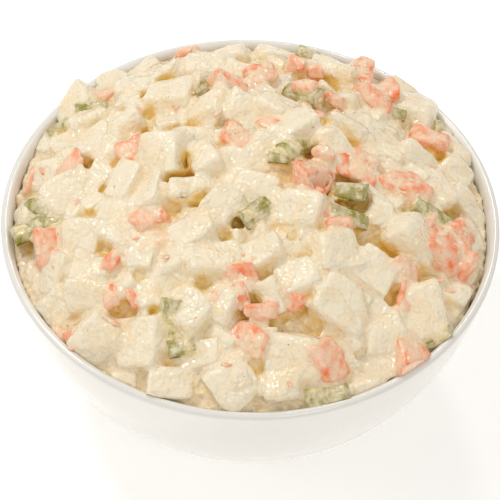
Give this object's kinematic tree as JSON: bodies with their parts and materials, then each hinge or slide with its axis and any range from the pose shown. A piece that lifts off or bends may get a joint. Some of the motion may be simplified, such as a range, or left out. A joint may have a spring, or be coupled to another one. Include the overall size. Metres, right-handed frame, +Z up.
{
  "type": "bowl of potato salad",
  "caption": "Round white footed bowl heaped above its rim with diced potato, carrot and celery bound in a creamy dressing.",
  "frame": {"origin": "centre of the foot ring, on the surface the bowl stands on", "axes": "+Z up along the bowl's axis; -Y is the front, which the picture is taken from; +X to its right"},
  "size_m": [0.18, 0.18, 0.1116],
  "materials": {
    "bowl_glaze": "smooth, glossy white glaze",
    "dressing": "moist, creamy pale yellow mayonnaise dressing, soft satin",
    "potato": "boiled potato under a film of dressing, soft satin",
    "carrot": "cooked carrot under a thin film of dressing, moist",
    "celery": "pale green celery with darker edges, moist"
  },
  "bodies": {
    "root": {"bowl": "bowl_glaze", "salad": "dressing"}
  },
  "joints": []
}
